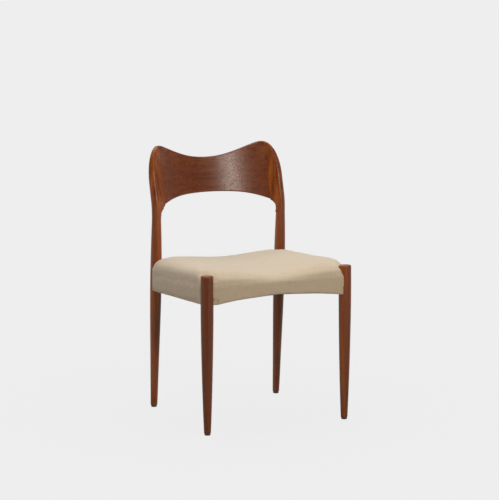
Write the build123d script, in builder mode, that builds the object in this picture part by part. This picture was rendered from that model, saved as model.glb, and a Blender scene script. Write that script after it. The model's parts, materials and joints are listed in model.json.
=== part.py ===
# Dining chair: turned front legs, one-piece rear stiles with ears, moulded back panel, upholstered seat.
# Millimetres. The floor is z = 0, the chair faces -Y and is alike left and right of x = 0.
import math
import os

from build123d import *

os.makedirs("parts", exist_ok=True)

SIDES = (("left", -1), ("right", 1))
UPON = (Align.CENTER, Align.CENTER, Align.MIN)
UNDER = (Align.CENTER, Align.CENTER, Align.MAX)
BEHIND = (Align.CENTER, Align.MIN, Align.MAX)

# Foot glides
glide_height = 6.5
glide_dia = 17.5
glide_edge = 1.5
pin_dia = 3.0
pin_length = 16.0

# Front legs: height and diameter at each station
front_leg_x = 224.3
front_leg_y = -229.2
front_leg_top = 459.6
front_leg_foot_dia = 20.0
front_leg_stations = ((90.0, 26.3), (215.0, 32.8), (380.0, 37.0))
front_leg_top_dia = 35.6
front_leg_edge = 2.5

# Rear stiles, lower part: height, distance behind the chair's middle, diameter
stile_x = 209.0
stile_foot_y = 174.0
stile_foot_dia = 20.4
stile_stations = (
    (101.0, 168.9, 24.5),
    (196.0, 164.1, 28.6),
    (291.0, 159.0, 32.6),
    (386.0, 154.0, 34.4),
    (480.0, 149.7, 32.8),
)
wrist_z = 575.0
wrist_y = 146.5
wrist_dia = 27.8

# Rake of the back above the wrist
bend_z = 614.0
rake = 0.266
bend_blend = 22.0

# Back panel
back_sag = 63.0
back_half_span = 200.0
back_end_offset = -2.0
back_thick = 11.0
seam_x = 180.0
back_edge = 3.5
back_top = ((60.0, 752.2), (120.0, 771.6), (150.0, 783.6), (176.0, 789.8), (192.0, 784.0))
back_top_middle = 746.0
back_low = ((60.0, 639.9), (105.0, 636.0), (150.0, 626.2), (182.0, 614.6), (206.0, 603.0))
back_low_middle = 641.2

# Ears: the round nose leans in and slims towards the tip, the web grows in to meet the panel
ear_top = 789.0
ear_peak_x = 176.0
ear_peak_z = 790.0
ear_lean_z = 680.0
ear_slim_z = 650.0
web_inner_x = 172.0
web_grow_z = 610.5
web_grow_rate = 6.0
web_turn_z = 604.0
web_turn_rate = 5.0
ear_slim_power = 2.2
ear_round_power = 2.3
ear_sections = 26

# Seat: cover cloth outside, all else is set in from it
seat_front = -245.5
seat_rear = 157.5
seat_shoulder = 135.5
seat_front_x = 240.4
seat_rear_x = 235.2
seat_shoulder_round = 20.0
seat_step_x = 200.0
seat_roll = 27.0
seat_roll_in = 0.26
seat_roll_down = 0.34
seat_roll_over = 0.02
seat_soft = 14.0
# The cover's own rounds at its top edges and rear shoulders, tighter than the foam's, which clears it there
cover_soft = 8.0
cover_shoulder_round = 14.0
# Top of the seat: place front to back, height in the middle, rise at the sides
seat_top = (
    (-180.0, 451.0, 16.5),
    (-95.0, 454.0, 15.5),
    (-10.0, 455.0, 12.5),
    (75.0, 454.0, 10.0),
    (170.0, 450.5, 8.5),
)
seat_rise_x = 235.0
# Underside: height of the front edge from the middle outwards, and of the rear edge
seat_low_front = (392.0, 385.6, 376.4)
seat_low_rear = 363.5
seat_low_step = 125.0
cover_thick = 1.5
cover_return = 26.0
soft_gap = 0.3
leg_gap = 0.4
stile_gap = 2.6

# Seat frame
rail_thick = 22.0
rail_chamfer = 11.0
rail_cope = 2.0
rail_top = 428.0
# How far the front and rear rails reach into their posts, as shares of the post's diameter short of its axis
front_rail_short = 0.45
rear_rail_short = 0.35
strap_thick = 2.0
strap_gap = 0.2
strap_width = 50.0
strap_land = 12.0
long_straps = (-144.0, -48.0, 48.0, 144.0)
cross_straps = (-155.0, -60.0, 35.0)
block_leg = 74.0
block_toe = 20.0
block_tuck = 4.0
block_low = 392.0
block_high = 420.0
joint_gap = 0.05
dowel_dia = 8.0
dowel_length = 38.0
front_dowels = (388.0, 408.0)
side_dowels = (398.0, 418.0)
rear_dowels = (384.0, 408.0)
panel_dowel_dia = 6.0
panel_dowel_length = 30.0
panel_dowels = (650.0, 700.0, 750.0)
screw_dia = 4.5
screw_head_dia = 9.0
screw_head = 3.0
screw_bite = 14.0
screw_in = 24.0
dust_thick = 0.8
dust_inset = 14.0
dust_clear = 6.0
# Slots in the cover behind the front legs, as shares of the leg's diameter
leg_slot_width = 0.855
leg_slot_back = 0.2725

# Room past an outline that a trimming shape reaches
trim_past = 20.0
trim_far = 400.0

# Where the round nose of a stile starts and ends, at the wrist and at the tip of the ear
nose_front = math.radians(-128.0)
nose_back = math.radians(88.0)
tip_front = math.radians(-120.0)
tip_back = math.radians(60.0)
round_half = math.radians(20.0)

leg_max_dia = max(dia for z, dia in front_leg_stations)
stile_max_dia = max(dia for z, y, dia in stile_stations)
back_radius = (back_half_span**2 + back_sag**2) / (2 * back_sag)
back_centre_y = back_end_offset + back_sag - back_radius


def spine_y(z):
    """Middle of the stile, front to back, above the wrist."""
    if z <= bend_z - bend_blend:
        return wrist_y
    if z >= bend_z + bend_blend:
        return wrist_y + rake * (z - bend_z)
    return wrist_y + rake * (z - bend_z + bend_blend) ** 2 / (4 * bend_blend)


def back_y(x, z):
    """Middle of the back panel's thickness."""
    return wrist_y + rake * (z - bend_z) + back_centre_y + math.sqrt(back_radius**2 - x**2)


def soft_curve(start, start_way, end, end_way):
    """Curve between two points with both end directions given; a true arc wherever one fits."""
    chord = math.dist(start, end)
    turn = math.acos(max(-1, min(1, start_way[0] * end_way[0] + start_way[1] * end_way[1])))
    reach = chord / 3 if turn < 0.01 else chord * 2 / 3 * math.tan(turn / 4) / math.sin(turn / 2)
    near = (start[0] + reach * start_way[0], start[1] + reach * start_way[1])
    far = (end[0] - reach * end_way[0], end[1] - reach * end_way[1])
    return (start, near, far, end)


def turned(way, angle):
    """A direction turned by an angle."""
    c, s = math.cos(angle), math.sin(angle)
    return (way[0] * c - way[1] * s, way[0] * s + way[1] * c)


def stile_section(side, z, nose, radius, web, web_way, half, flare, slim=0.0):
    """Round nose outside, flat web inside; on the leg the web is only a part of the round."""
    front = nose_front + (tip_front - nose_front) * slim
    back = nose_back + (tip_back - nose_back) * slim
    rim = [front, (front + back) / 2, back]
    points = [(nose[0] + radius * math.cos(a), nose[1] + radius * math.sin(a)) for a in rim]
    ways = [(-math.sin(a), math.cos(a)) for a in rim]
    back_normal = (-web_way[1], web_way[0])
    web_back = (web[0] + back_normal[0] * half, web[1] + back_normal[1] * half)
    web_front = (web[0] - back_normal[0] * half, web[1] - back_normal[1] * half)
    inward = (-web_way[0], -web_way[1])
    down = (-back_normal[0], -back_normal[1])
    curves = (
        soft_curve(points[0], ways[0], points[1], ways[1]),
        soft_curve(points[1], ways[1], points[2], ways[2]),
        soft_curve(points[2], ways[2], web_back, turned(inward, flare)),
        soft_curve(web_back, turned(down, -round_half), web_front, turned(down, round_half)),
        soft_curve(web_front, turned(web_way, -flare), points[0], ways[0]),
    )
    with BuildSketch(Plane.XY.offset(z)) as section:
        with BuildLine():
            for curve in curves:
                Bezier(*[(side * x, y) for x, y in curve])
        make_face()
    return section.sketch


def round_section(side, z, y, dia, grow):
    """Round section of a stile below the wrist."""
    radius = dia / 2 + grow
    web = (stile_x - radius * math.cos(round_half), y)
    half = radius * math.sin(round_half)
    return stile_section(side, z, (stile_x, y), radius, web, (1, 0), half, math.pi / 2 - round_half)


def ramp(z, middle, rate):
    """Soft step from 0 to 1 about a height."""
    return 1 / (1 + math.exp((middle - z) / rate))


def ear_section(side, z):
    """Section of a stile above the wrist, where it opens into the ear."""
    leg_radius = wrist_dia / 2
    tip_radius = back_thick / 2
    slim = (max(0, z - ear_slim_z) / (ear_top - ear_slim_z)) ** ear_slim_power
    lean = max(0, z - ear_lean_z) / (ear_peak_z - ear_lean_z)
    radius = leg_radius - (leg_radius - tip_radius) * slim
    leg_outer = stile_x + leg_radius
    out = leg_outer - (leg_outer - ear_peak_x) * (1 - math.sqrt(1 - lean**ear_round_power))
    nose_x = out - radius
    bend = spine_y(z) - wrist_y - rake * (z - bend_z)
    nose_y = back_y(nose_x, z) + radius - tip_radius + bend
    leg_inner = stile_x - leg_radius * math.cos(round_half)
    web_x = leg_inner - (leg_inner - web_inner_x) * ramp(z, web_grow_z, web_grow_rate)
    grown = ramp(z, web_turn_z, web_turn_rate)
    slope = math.asin(web_x / back_radius) * grown
    half = leg_radius * math.sin(round_half) * (1 - grown) + tip_radius * grown
    web_y = spine_y(z) + grown * (back_y(web_x, z) + bend * (1 - grown) - spine_y(z))
    flare = (math.pi / 2 - round_half) * (1 - grown)
    way = (math.cos(slope), -math.sin(slope))
    return stile_section(side, z, (nose_x, nose_y), radius, (web_x, web_y), way, half, flare, slim)


def stile_leg(side, grow=0.0):
    """Rear stile from its foot to the wrist."""
    sections = [round_section(side, glide_height, stile_foot_y, stile_foot_dia, grow)]
    for z, y, dia in stile_stations:
        sections.append(round_section(side, z, y, dia, grow))
    sections.append(round_section(side, wrist_z, wrist_y, wrist_dia, grow))
    with BuildPart() as leg:
        loft(sections)
    return leg.part


def stile_ear(side):
    """Rear stile from the wrist to the tip of the ear."""
    step = (ear_top - wrist_z) / ear_sections
    sections = [round_section(side, wrist_z, wrist_y, wrist_dia, 0)]
    sections += [ear_section(side, wrist_z + step * i) for i in range(1, ear_sections + 1)]
    with BuildPart() as ear:
        loft(sections)
    return ear.part


def mirrored_line(middle, half):
    """Points of a line across the chair from its middle height and its right half."""
    return [(-x, z) for x, z in reversed(half)] + [(0, middle)] + list(half)


def above_back():
    """Everything over the top line of the back and ears."""
    line = mirrored_line(back_top_middle, back_top)
    wide = stile_x + stile_max_dia
    high = ear_peak_z + stile_max_dia
    with BuildPart() as over:
        with BuildSketch(Plane.XZ):
            with BuildLine():
                Spline(*line)
                Polyline(line[-1], (wide, line[-1][1]), (wide, high), (-wide, high), (-wide, line[0][1]))
                Line((-wide, line[0][1]), line[0])
            make_face()
        extrude(amount=trim_far, both=True)
    return over.part


def below_back():
    """Everything under the lower line of the back."""
    line = mirrored_line(back_low_middle, back_low)
    low = back_low[-1][1] - 2 * trim_past
    with BuildPart() as under:
        with BuildSketch(Plane.XZ):
            with BuildLine():
                Spline(*line)
                Polyline(line[-1], (line[-1][0], low), (line[0][0], low), line[0])
            make_face()
        extrude(amount=trim_far, both=True)
    return under.part


seam_turn = math.asin(seam_x / back_radius)


def seam_block(side):
    """Block with one face on the joint between an ear and the panel; all of it on the panel's side."""
    radial = Vector(side * math.sin(seam_turn), math.cos(seam_turn), 0)
    up = Vector(0, rake, 1)
    inward = radial.cross(up) * -side
    start = Vector(side * seam_x, back_y(seam_x, bend_z), bend_z)
    high = (ear_peak_z + trim_past - bend_z) * math.hypot(1, rake)
    tall = high + trim_past + bend_blend / 2
    wide = 2 * (back_sag + trim_past)
    with BuildPart() as block:
        with BuildSketch(Plane(start, x_dir=up, z_dir=inward)):
            with Locations((high, 0)):
                Rectangle(tall, wide, align=(Align.MAX, Align.CENTER))
        extrude(amount=3 * trim_past)
    return block.part


def panel_dowel_places(side):
    """Panel dowels: set across the seam, along the panel."""
    along = (side * math.cos(seam_turn), -math.sin(seam_turn), 0)
    return [Plane((side * seam_x, back_y(seam_x, z), z), z_dir=along) for z in panel_dowels]


def rods(places, dia, length):
    """Dowels, or the holes for them."""
    with BuildPart() as group:
        for place in places:
            with Locations(place):
                Cylinder(dia / 2, length)
    return group.part


def leg_form(side, grow=0.0):
    """Turned front leg on its own axis."""
    place = Plane((side * front_leg_x, front_leg_y, 0), x_dir=(1, 0, 0), z_dir=(0, -1, 0))
    profile = [(front_leg_foot_dia / 2 + grow, glide_height)]
    profile += [(dia / 2 + grow, z) for z, dia in front_leg_stations]
    profile += [(front_leg_top_dia / 2 + grow, front_leg_top)]
    with BuildPart() as form:
        with BuildSketch(place):
            with BuildLine():
                Spline(*profile)
                Polyline(profile[-1], (0, front_leg_top), (0, glide_height), profile[0])
            make_face()
        revolve(axis=Axis((side * front_leg_x, front_leg_y, 0), (0, 0, 1)))
    return form.part


def seat_blank(inset):
    """Seat body before its plan is cut: rolled front, dished top, arched underside."""
    sections = []
    for i in range(-2, 3):
        x = i * seat_low_step
        rise = (x / seat_rise_x) ** 2
        top = [(y, mid + lift * rise - inset) for y, mid, lift in seat_top]
        front = seat_front + inset
        crest = top[0][1]
        low = (front, seat_low_front[abs(i)] + inset)
        start = (front, crest - seat_roll)
        bend = (front + seat_roll_in * seat_roll, crest - seat_roll_down * seat_roll)
        over = (front + seat_roll, crest - seat_roll_over * seat_roll)
        rear = (top[-1][0], seat_low_rear + inset)
        with BuildSketch(Plane.YZ.offset(x)) as section:
            with BuildLine():
                Line(low, start)
                Spline(start, bend, over, tangents=((0, 1), (1, 0)))
                Spline(over, *top, tangents=((1, 0), (1, -0.04)))
                Line(top[-1], rear)
                Line(rear, low)
            make_face()
        sections.append(section.sketch)
    with BuildPart() as blank:
        loft(sections)
    return blank.part


def seat_plan(inset, shoulder_round):
    """Plan of the seat: notched at the front for the legs, stepped in at the back between the stiles."""
    leg_hole = leg_max_dia / 2 + leg_gap + inset
    stile_hole = stile_max_dia / 2 + stile_gap + inset
    stile_y = (stile_stations[3][1] + stile_stations[4][1]) / 2
    half = (
        (front_leg_x, seat_front - trim_past),
        (front_leg_x, front_leg_y),
        (seat_front_x - inset, front_leg_y),
        (seat_rear_x - inset, seat_shoulder - inset),
        (seat_step_x - inset, seat_shoulder - inset),
        (seat_step_x - inset, seat_rear - inset),
    )
    low = seat_low_rear - trim_past
    with BuildPart() as plan:
        with BuildSketch(Plane.XY.offset(low)) as outline:
            with BuildLine():
                Polyline(*half, *[(-x, y) for x, y in reversed(half)], close=True)
            make_face()
            corners = [v for v in outline.vertices() if abs(abs(v.X) - seat_rear_x + inset) < 0.01]
            fillet(corners, shoulder_round - inset)
            with Locations((front_leg_x, front_leg_y), (-front_leg_x, front_leg_y)):
                Circle(leg_hole, mode=Mode.SUBTRACT)
            with Locations((stile_x, stile_y), (-stile_x, stile_y)):
                Circle(stile_hole, mode=Mode.SUBTRACT)
        extrude(amount=front_leg_top + 2 * trim_past - low)
    return plan.part


def seat_form(inset, soft, shoulder_round):
    """Outside of the soft seat, or a skin set in from it, with its soft edges and rear shoulders rounded."""
    with BuildPart() as form:
        add(seat_blank(inset))
        add(seat_plan(inset, shoulder_round), mode=Mode.INTERSECT)
        hard = [e for e in form.edges() if soft_edge(e, soft)]
        fillet(hard, soft - inset)
    return form.part


def soft_edge(edge, soft):
    """Edges of the seat that the padding rounds: round the top, and down the front beside the legs."""
    middle = edge.center()
    if middle.Z > min(mid for y, mid, lift in seat_top) - soft:
        flat = abs(edge.tangent_at(0.5).Z) < 0.9
        on_roll = middle.Y < seat_front + seat_roll + 2 and abs(middle.X) < seat_step_x
        return flat and not on_roll
    by_leg = abs(middle.X) > seat_step_x and middle.Y < front_leg_y + 3 * trim_past
    return by_leg and edge.length > trim_past


def rail_plans():
    """Plan of each seat rail: its four corners."""
    set_in = cover_thick + soft_gap
    front = seat_front + set_in
    rear = seat_rear - set_in
    outer_front = seat_front_x - set_in
    outer_rear = seat_rear_x - set_in
    cut = rail_chamfer
    rear_x = stile_x - stile_max_dia * rear_rail_short
    front_x = front_leg_x - leg_max_dia * front_rail_short
    front_half = ((front_x - cut, front), (front_x, front + cut), (front_x, front + rail_thick))
    rear_half = ((rear_x, rear), (rear_x, rear - rail_thick))
    plans = {
        name: [(-x, y) for x, y in reversed(half)] + list(half)
        for name, half in (("front", front_half), ("rear", rear_half))
    }
    leg_back = front_leg_y + leg_max_dia / 2
    shoulder = seat_shoulder - set_in
    for name, side in SIDES:
        half = (
            (outer_front - cut, leg_back - rail_cope),
            (outer_front, leg_back + cut - rail_cope),
            (outer_rear, shoulder - cut),
            (outer_rear - cut, shoulder),
            (outer_rear - cut, shoulder + rail_thick),
            (outer_rear - rail_thick, shoulder + rail_thick),
            (outer_front - rail_thick, leg_back - 2 * rail_cope),
        )
        plans[name] = [(side * x, y) for x, y in half]
    return plans


def rail_dowel_places():
    """Dowels of the seat frame, listed by the rail they hold."""
    rear_mid = seat_rear - cover_thick - soft_gap - rail_thick / 2
    leg_radius = leg_max_dia / 2
    stile_radius = stile_max_dia / 2
    stile_y = stile_stations[3][1]
    side_x = seat_rear_x - cover_thick - soft_gap - (rail_thick + rail_chamfer) / 2
    places = {"front": [], "rear": [], "left": [], "right": []}
    for name, side in SIDES:
        leg_in = side * (front_leg_x - leg_radius)
        stile_in = side * (stile_x - stile_radius)
        for z in front_dowels:
            places["front"].append(Plane((leg_in, front_leg_y, z), z_dir=(1, 0, 0)))
        for z in side_dowels:
            places[name].append(Plane((side * front_leg_x, front_leg_y + leg_radius, z), z_dir=(0, 1, 0)))
            places[name].append(Plane((side * side_x, stile_y - stile_radius, z), z_dir=(0, 1, 0)))
        for z in rear_dowels:
            places["rear"].append(Plane((stile_in, rear_mid, z), z_dir=(1, 0, 0)))
    return places


def block_corner(side, front):
    """Inside corner of the seat frame at the height of the corner blocks."""
    set_in = cover_thick + soft_gap
    if front:
        y = seat_front + set_in + rail_thick
    else:
        y = seat_rear - set_in - rail_thick
    lean = (seat_front_x - seat_rear_x) / (seat_shoulder - set_in - front_leg_y)
    x = seat_front_x - set_in - rail_thick - lean * (y - front_leg_y)
    return (side * x, y)


def screw_places(side, front):
    """Two screws in each corner block: one into the end rail, one into the side rail."""
    x, y = block_corner(side, front)
    way = 1 if front else -1
    z = (block_low + block_high) / 2
    away = block_leg - screw_in
    return (
        Plane((x - side * away, y, z), z_dir=(0, -way, 0)),
        Plane((x, y + way * away, z), z_dir=(side, 0, 0)),
    )


def screw_shape(places, grow, reach):
    """Screws, or the holes for them; each starts inside the block and ends in its rail."""
    shank = screw_in + block_toe - screw_head
    with BuildPart() as group:
        for place in places:
            with Locations(place.offset(screw_bite + grow)):
                Cylinder(screw_dia / 2 + grow, screw_bite + shank + grow, align=UNDER)
            with Locations(place.offset(-shank)):
                Cylinder(screw_head_dia / 2 + grow, screw_head + reach, align=UNDER)
    return group.part


def plan_block(points, low, high):
    """Upright block on a plan."""
    with BuildPart() as block:
        with BuildSketch(Plane.XY.offset(low)):
            with BuildLine():
                Polyline(*points, close=True)
            make_face()
        extrude(amount=high - low)
    return block.part


dowel_places = rail_dowel_places()
dowel_hole_dia = dowel_dia + 2 * joint_gap
panel_hole_dia = panel_dowel_dia + 2 * joint_gap
dowel_holes = {
    name: rods(places, dowel_hole_dia, dowel_length + 2) for name, places in dowel_places.items()
}
panel_holes = {
    name: rods(panel_dowel_places(side), panel_hole_dia, panel_dowel_length + 2) for name, side in SIDES
}
screws = {(front, name): screw_places(side, front) for name, side in SIDES for front in (True, False)}
leg_room = {name: leg_form(side, joint_gap) for name, side in SIDES}
stile_room = {name: stile_leg(side, joint_gap) for name, side in SIDES}
feet = {}
for name, side in SIDES:
    feet["front", name] = (side * front_leg_x, front_leg_y)
    feet["rear", name] = (side * stile_x, stile_foot_y)


def pin(foot, grow):
    """Nail of a foot glide, or the hole for it."""
    with BuildPart() as nail:
        with Locations((*feet[foot], glide_height)):
            Cylinder(pin_dia / 2 + grow, pin_length + grow, align=UPON)
    return nail.part


with BuildPart() as back_panel:
    turn = math.degrees(seam_turn)
    low = back_low[-1][1] - trim_past
    high = max(z for x, z in back_top) + trim_past
    with BuildSketch(Plane.XY.offset(low)):
        with BuildLine():
            centre = (0, back_y(0, low) - back_radius)
            outer = CenterArc(centre, back_radius + back_thick / 2, 90 - turn, 2 * turn)
            inner = CenterArc(centre, back_radius - back_thick / 2, 90 - turn, 2 * turn)
            Line(outer @ 0, inner @ 0)
            Line(outer @ 1, inner @ 1)
        make_face()
    extrude(amount=(high - low) * math.hypot(1, rake), dir=(0, rake, 1))
    add(above_back(), mode=Mode.SUBTRACT)
    add(below_back(), mode=Mode.SUBTRACT)
    fillet([e for e in back_panel.edges() if e.length > seam_x * 1.4], back_edge)
    for holes in panel_holes.values():
        add(holes, mode=Mode.SUBTRACT)
back_panel.part.label = "back_panel"
export_step(back_panel.part, "parts/back_panel.step")

for name, side in SIDES:
    with BuildPart() as rear_stile:
        add(stile_ear(side))
        add(seam_block(side), mode=Mode.SUBTRACT)
        add(panel_holes[name], mode=Mode.SUBTRACT)
        add(stile_leg(side))
        for holes in (dowel_holes[name], dowel_holes["rear"], pin(("rear", name), joint_gap)):
            add(holes, mode=Mode.SUBTRACT)
    rear_stile.part.label = f"rear_stile_{name}"
    export_step(rear_stile.part, f"parts/rear_stile_{name}.step")

for name, side in SIDES:
    with BuildPart() as front_leg:
        add(leg_form(side))
        fillet(front_leg.edges().sort_by(Axis.Z)[-1], front_leg_edge)
        for holes in (dowel_holes[name], dowel_holes["front"], pin(("front", name), joint_gap)):
            add(holes, mode=Mode.SUBTRACT)
    front_leg.part.label = f"front_leg_{name}"
    export_step(front_leg.part, f"parts/front_leg_{name}.step")

for foot, (x, y) in feet.items():
    with BuildPart() as glide:
        with Locations((x, y, 0)):
            Cylinder(glide_dia / 2, glide_height, align=UPON)
        fillet(glide.edges().sort_by(Axis.Z)[0], glide_edge)
        add(pin(foot, 0))
    glide.part.label = "glide_" + "_".join(foot)
    export_step(glide.part, f"parts/{glide.part.label}.step")

blank_inside = seat_blank(cover_thick + soft_gap)
rail_screws = {
    "front": [screws[True, name][0] for name, side in SIDES],
    "rear": [screws[False, name][0] for name, side in SIDES],
    "left": [screws[front, "left"][1] for front in (True, False)],
    "right": [screws[front, "right"][1] for front in (True, False)],
}
rail_posts = {
    "front": leg_room.values(),
    "rear": stile_room.values(),
    "left": (leg_room["left"], stile_room["left"]),
    "right": (leg_room["right"], stile_room["right"]),
}
rails = {}
for name, plan in rail_plans().items():
    top = rail_top if name in ("front", "rear") else rail_top + strap_thick + strap_gap
    with BuildPart() as rail:
        add(plan_block(plan, seat_low_rear - trim_past, top))
        add(blank_inside, mode=Mode.INTERSECT)
        for part in (*rail_posts[name], dowel_holes[name], screw_shape(rail_screws[name], joint_gap, 0)):
            add(part, mode=Mode.SUBTRACT)
    rails[name] = rail.part
    rail.part.label = f"{name}_rail"
    export_step(rail.part, f"parts/{name}_rail.step")

for name, side in SIDES:
    for place, front in (("front", True), ("rear", False)):
        x, y = block_corner(side, front)
        way = 1 if front else -1
        plan = (
            (x + side * block_tuck, y),
            (x - side * block_leg, y),
            (x - side * block_leg, y + way * block_toe),
            (x - side * block_toe, y + way * block_leg),
            (x + side * block_tuck, y + way * block_leg),
        )
        post = leg_room[name] if front else stile_room[name]
        with BuildPart() as corner_block:
            add(plan_block(plan, block_low, block_high))
            for part in (rails[name], post, screw_shape(screws[front, name], joint_gap, block_leg)):
                add(part, mode=Mode.SUBTRACT)
            add(corner_block.solids().sort_by(SortBy.VOLUME)[-1], mode=Mode.REPLACE)
        corner_block.part.label = f"corner_block_{place}_{name}"
        export_step(corner_block.part, f"parts/corner_block_{place}_{name}.step")

with BuildPart() as block_screws:
    for places in screws.values():
        add(screw_shape(places, 0, 0))
block_screws.part.label = "block_screws"
export_step(block_screws.part, "parts/block_screws.step")

with BuildPart() as rail_dowels:
    for places in dowel_places.values():
        add(rods(places, dowel_dia, dowel_length))
rail_dowels.part.label = "rail_dowels"
export_step(rail_dowels.part, "parts/rail_dowels.step")

with BuildPart() as panel_dowel_set:
    for name, side in SIDES:
        add(rods(panel_dowel_places(side), panel_dowel_dia, panel_dowel_length))
panel_dowel_set.part.label = "panel_dowels"
export_step(panel_dowel_set.part, "parts/panel_dowels.step")

set_in = cover_thick + soft_gap
strap_front = seat_front + set_in + rail_thick - strap_land
strap_rear = seat_rear - set_in - rail_thick + strap_land
with BuildPart() as webbing_long:
    for x in long_straps:
        with Locations((x, (strap_front + strap_rear) / 2, rail_top)):
            Box(strap_width, strap_rear - strap_front, strap_thick, align=UPON)
webbing_long.part.label = "webbing_long"
export_step(webbing_long.part, "parts/webbing_long.step")

cross_z = rail_top + strap_thick + strap_gap
cross_half = seat_rear_x - set_in - rail_thick + strap_land
with BuildPart() as webbing_cross:
    for y in cross_straps:
        with Locations((0, y, cross_z)):
            Box(2 * cross_half, strap_width, strap_thick, align=UPON)
webbing_cross.part.label = "webbing_cross"
export_step(webbing_cross.part, "parts/webbing_cross.step")

foam_low = cross_z + strap_thick + soft_gap
with BuildPart() as seat_foam:
    add(seat_form(set_in, seat_soft, seat_shoulder_round))
    with Locations((0, 0, foam_low)):
        Box(2 * trim_far, 2 * trim_far, trim_far, align=UNDER, mode=Mode.SUBTRACT)
seat_foam.part.label = "seat_foam"
export_step(seat_foam.part, "parts/seat_foam.step")


def inner_plan(inset):
    """Rectangle under the seat, set in from its edges."""
    x = front_leg_x - inset
    front = seat_front + inset
    rear = seat_rear - inset
    return ((x, front), (x, rear), (-x, rear), (-x, front))


slot_top = cross_z + soft_gap
stile_slot = stile_max_dia / 2 + stile_gap + 2 * cover_thick
slot_out = seat_rear_x - set_in - rail_chamfer + soft_gap
slot_wide = slot_out - stile_x + stile_slot
slot_in = slot_out - slot_wide / 2
slot_deep = seat_rear - 4 * cover_thick - seat_shoulder + rail_chamfer
slot_high = slot_top - seat_low_rear
leg_slot = leg_max_dia * leg_slot_width
leg_slot_in = leg_max_dia * leg_slot_back
with BuildPart() as seat_cover:
    add(seat_form(0, cover_soft, cover_shoulder_round))
    add(seat_form(cover_thick, cover_soft, cover_shoulder_round), mode=Mode.SUBTRACT)
    add(plan_block(inner_plan(cover_return), seat_low_rear - trim_past, rail_top), mode=Mode.SUBTRACT)
    for name, side in SIDES:
        with Locations((side * slot_in, seat_shoulder - rail_chamfer, slot_top)):
            Box(slot_wide, slot_deep, slot_high, align=BEHIND, mode=Mode.SUBTRACT)
        with Locations((side * (front_leg_x - leg_slot_in), front_leg_y + leg_slot_in, slot_top)):
            Box(leg_slot, leg_slot, slot_high, align=UNDER, mode=Mode.SUBTRACT)
seat_cover.part.label = "seat_cover"
export_step(seat_cover.part, "parts/seat_cover.step")

with BuildPart() as dust_cover:
    add(seat_blank(-soft_gap - dust_thick))
    add(seat_blank(-soft_gap), mode=Mode.SUBTRACT)
    add(plan_block(inner_plan(dust_inset), seat_low_rear - trim_past, rail_top), mode=Mode.INTERSECT)
    for name, side in SIDES:
        add(leg_form(side, dust_clear), mode=Mode.SUBTRACT)
        add(stile_leg(side, dust_clear), mode=Mode.SUBTRACT)
dust_cover.part.label = "dust_cover"
export_step(dust_cover.part, "parts/dust_cover.step")
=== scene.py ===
import json
import math

import bpy
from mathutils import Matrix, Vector

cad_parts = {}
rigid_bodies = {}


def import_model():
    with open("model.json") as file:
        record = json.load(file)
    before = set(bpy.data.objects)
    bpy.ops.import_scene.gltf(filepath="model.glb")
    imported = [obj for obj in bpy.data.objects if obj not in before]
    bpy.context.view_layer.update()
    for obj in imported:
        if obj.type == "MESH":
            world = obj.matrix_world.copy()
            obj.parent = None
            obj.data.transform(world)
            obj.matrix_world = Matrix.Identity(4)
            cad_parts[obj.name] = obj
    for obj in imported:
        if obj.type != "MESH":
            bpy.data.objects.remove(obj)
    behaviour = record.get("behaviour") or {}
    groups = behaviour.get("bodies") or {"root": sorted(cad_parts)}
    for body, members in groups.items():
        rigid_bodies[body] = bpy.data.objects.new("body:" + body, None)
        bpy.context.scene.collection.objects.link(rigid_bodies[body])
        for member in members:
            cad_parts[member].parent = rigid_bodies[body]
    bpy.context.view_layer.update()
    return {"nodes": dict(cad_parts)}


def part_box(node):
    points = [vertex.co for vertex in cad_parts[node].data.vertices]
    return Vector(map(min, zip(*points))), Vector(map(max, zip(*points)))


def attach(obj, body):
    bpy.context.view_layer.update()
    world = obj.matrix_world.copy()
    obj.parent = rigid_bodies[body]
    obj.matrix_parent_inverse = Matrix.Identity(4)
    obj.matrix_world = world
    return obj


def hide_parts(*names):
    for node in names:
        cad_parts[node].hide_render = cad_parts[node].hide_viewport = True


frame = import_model()

# Seat, in metres: the plan of the part's seat, with a fuller top.
SEAT_FRONT = -0.2455
SEAT_REAR = 0.1575
SEAT_SHOULDER = 0.1355
SEAT_STEP_X = 0.200
SEAT_FRONT_X = 0.2404
SEAT_REAR_X = 0.2352
# Rolled edges: how far each runs in and down, and where the sides' roll changes along the seat.
SEAT_ROLL = (0.036, 0.023)
SEAT_SIDE_ROLL = (0.038, 0.034)
SEAT_SIDE_ROLL_FRONT = (0.026, 0.030)
SEAT_SIDE_ROLL_CHANGE = (-0.20, -0.06)
SEAT_REAR_ROLL = (0.022, 0.020)
# Rear corners beside the stiles: rounding across and along, and where the cover stops.
SEAT_SHOULDER_ROUND = (0.011, 0.020)
SEAT_CORNER_CUT = 0.1505
# Dished top: its crest, its fall to the front and rear, and its rise to the sides.
SEAT_CREST = 0.456
SEAT_CREST_Y = -0.010
SEAT_FALL = 1.6
SEAT_FALL_REAR = 0.090
SEAT_SIDE_RISE = 0.0128
SEAT_SIDE_RISE_CHANGE = 0.034
SEAT_SIDE_RISE_MOST = 0.0178
SEAT_SIDE_RISE_X = 0.170
SEAT_FRONT_FALL = 0.007
SEAT_FRONT_FALL_REACH = 0.075
# Front corners in plan.
SEAT_CORNER_X = 0.187
SEAT_CORNER_ROUND = 0.029
# Underside: arched at the front, lower at the rear, and hanging beside the front legs.
SEAT_LOW_FRONT = 0.392
SEAT_LOW_DROP = 0.0156
SEAT_LOW_X = 0.250
SEAT_LOW_POWER = 1.29
SEAT_LOW_REAR = 0.3635
SEAT_LOW_REAR_Y = 0.170
SEAT_HANG = 0.0055
SEAT_HANG_FROM_X = 0.125
SEAT_HANG_X = 0.209
SEAT_HANG_POWER = 1.3
SEAT_HANG_REACH = 0.035
# Top of the front and rear rails that the cover is pulled over.
RAIL_TOP = 0.428

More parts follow.
